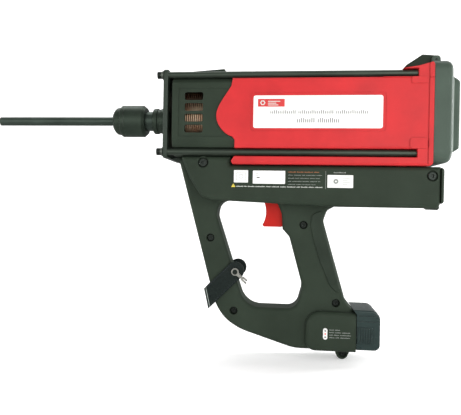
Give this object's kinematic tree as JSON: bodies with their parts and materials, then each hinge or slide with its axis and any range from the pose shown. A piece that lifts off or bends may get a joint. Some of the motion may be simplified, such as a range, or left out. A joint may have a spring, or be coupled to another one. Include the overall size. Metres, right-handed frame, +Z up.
{
  "type": "gas-actuated nail gun",
  "caption": "Gas-actuated insulation nailer with a long nose tube, red covers held by tie rods, dark beam handle and slide-in battery.",
  "frame": {"origin": "centre of the muzzle, on the axis of the nose tube", "axes": "+X back along the nose tube towards the rear cap, +Y to the tool's right hand side, +Z up from the handle to the body"},
  "size_m": [0.5665, 0.0954, 0.366],
  "materials": {
    "blued_steel": "blued",
    "nose_paint": "black oxide",
    "frame_paint": "satin powder coat",
    "rod_steel": "black oxide",
    "black_screws": "black oxide",
    "zinc_steel": "zinc plated",
    "cast_alloy": "cast",
    "dark_shell": "fine moulded texture",
    "red_shell": "semi-gloss",
    "red_trigger": "semi-gloss",
    "seal_rubber": "satin",
    "filter_paper": "pleated paper",
    "label_film": "printed film",
    "bronze_alloy": "bronzed",
    "black_rubber": "matte",
    "spring_steel": "drawn",
    "ceramic": "glazed",
    "black_plastic": "moulded",
    "cell_paint": "printed can",
    "brass_fitting": "machined",
    "grip_rubber": "soft",
    "circuit_board": "solder mask",
    "window_white": "translucent",
    "battery_shell": "moulded",
    "strap_webbing": "woven",
    "nickel": "nickel plated"
  },
  "bodies": {
    "tool_frame": {"nose_hub": "nose_paint", "front_plate": "frame_paint", "tie_rod_upper_left": "rod_steel", "tie_rod_upper_right": "rod_steel", "tie_rod_lower_left": "rod_steel", "tie_rod_lower_right": "rod_steel", "tie_rod_bolts": "black_screws", "tie_rod_washers": "zinc_steel", "front_bracket": "frame_paint", "rear_plate": "cast_alloy", "front_shroud": "dark_shell", "red_cover_left": "red_shell", "red_cover_right": "red_shell", "rear_cap": "dark_shell", "rear_gasket": "seal_rubber", "filter_cover": "dark_shell", "air_filter": "filter_paper", "hinge_pins": "black_screws", "labels": "label_film", "cylinder": "bronze_alloy", "bumper": "black_rubber", "chamber_spring": "spring_steel", "cylinder_head": "cast_alloy", "head_seal": "black_rubber", "spark_plug": "ceramic", "fan_motor": "zinc_steel", "gas_cell": "cell_paint", "cell_sleeve": "black_plastic", "metering_valve": "brass_fitting", "gas_line": "black_rubber", "handle_shell_left": "dark_shell", "handle_shell_right": "dark_shell", "grip_pad_left": "grip_rubber", "grip_pad_right": "grip_rubber", "trigger_spring": "spring_steel", "trigger_switch": "black_plastic", "ignition_coil": "black_plastic", "control_board": "circuit_board", "battery_contacts": "brass_fitting", "led_window": "window_white", "shell_screws": "black_screws", "strap": "strap_webbing", "strap_rivet": "black_screws"},
    "nose": {"nose_tube": "blued_steel", "nose_cone": "nose_paint", "nose_sleeve": "blued_steel", "probe_linkage": "zinc_steel", "combustion_chamber": "cast_alloy"},
    "collar": {"lock_collar": "nose_paint"},
    "piston_unit": {"piston": "cast_alloy", "piston_rings": "zinc_steel", "driver_rod": "blued_steel"},
    "fan_rotor": {"fan": "black_plastic"},
    "latch": {"rear_latch": "dark_shell"},
    "fuel_door": {"gas_door": "dark_shell"},
    "trigger_unit": {"trigger": "red_trigger"},
    "battery": {"battery_pack": "battery_shell"},
    "button_left": {"battery_button_left": "battery_shell"},
    "button_right": {"battery_button_right": "battery_shell"},
    "clasp": {"strap_clasp": "nickel"}
  },
  "joints": [
    {"name": "nose_press", "type": "slide", "parent": "tool_frame", "child": "nose", "axis": [1, 0, 0], "range_m": [0, 0.0075], "stiffness_N_per_m": 3000, "springref_m": -0.007, "deforming": ["chamber_spring"]},
    {"name": "collar_spin", "type": "hinge", "parent": "nose", "child": "collar", "pos_m": [0.179, 0, 0], "axis": [1, 0, 0], "continuous": true},
    {"name": "piston_stroke", "type": "slide", "parent": "tool_frame", "child": "piston_unit", "axis": [-1, 0, 0], "range_m": [0, 0.11]},
    {"name": "fan_spin", "type": "hinge", "parent": "tool_frame", "child": "fan_rotor", "pos_m": [0.4615, 0, 0], "axis": [1, 0, 0], "continuous": true},
    {"name": "latch_lift", "type": "hinge", "parent": "tool_frame", "child": "latch", "pos_m": [0.5435, 0, 0.0707], "axis": [0, 1, 0], "range_deg": [0, 40]},
    {"name": "fuel_door_swing", "type": "hinge", "parent": "tool_frame", "child": "fuel_door", "pos_m": [0.5452, 0, -0.1026], "axis": [0, 1, 0], "range_deg": [0, 110]},
    {"name": "trigger_pull", "type": "slide", "parent": "tool_frame", "child": "trigger_unit", "axis": [1, 0, 0], "range_m": [0, 0.007], "stiffness_N_per_m": 700, "springref_m": -0.004, "deforming": ["trigger_spring"]},
    {"name": "battery_slide", "type": "slide", "parent": "tool_frame", "child": "battery", "axis": [1, 0, 0], "range_m": [0, 0.06]},
    {"name": "button_left_press", "type": "slide", "parent": "battery", "child": "button_left", "axis": [0, 1, 0], "range_m": [0, 0.0025], "stiffness_N_per_m": 800, "springref_m": -0.002},
    {"name": "button_right_press", "type": "slide", "parent": "battery", "child": "button_right", "axis": [0, -1, 0], "range_m": [0, 0.0025], "stiffness_N_per_m": 800, "springref_m": -0.002},
    {"name": "clasp_swing", "type": "hinge", "parent": "tool_frame", "child": "clasp", "pos_m": [0.3122, -0.0228, -0.1845], "axis": [0, 1, 0], "range_deg": [-60, 60]}
  ]
}
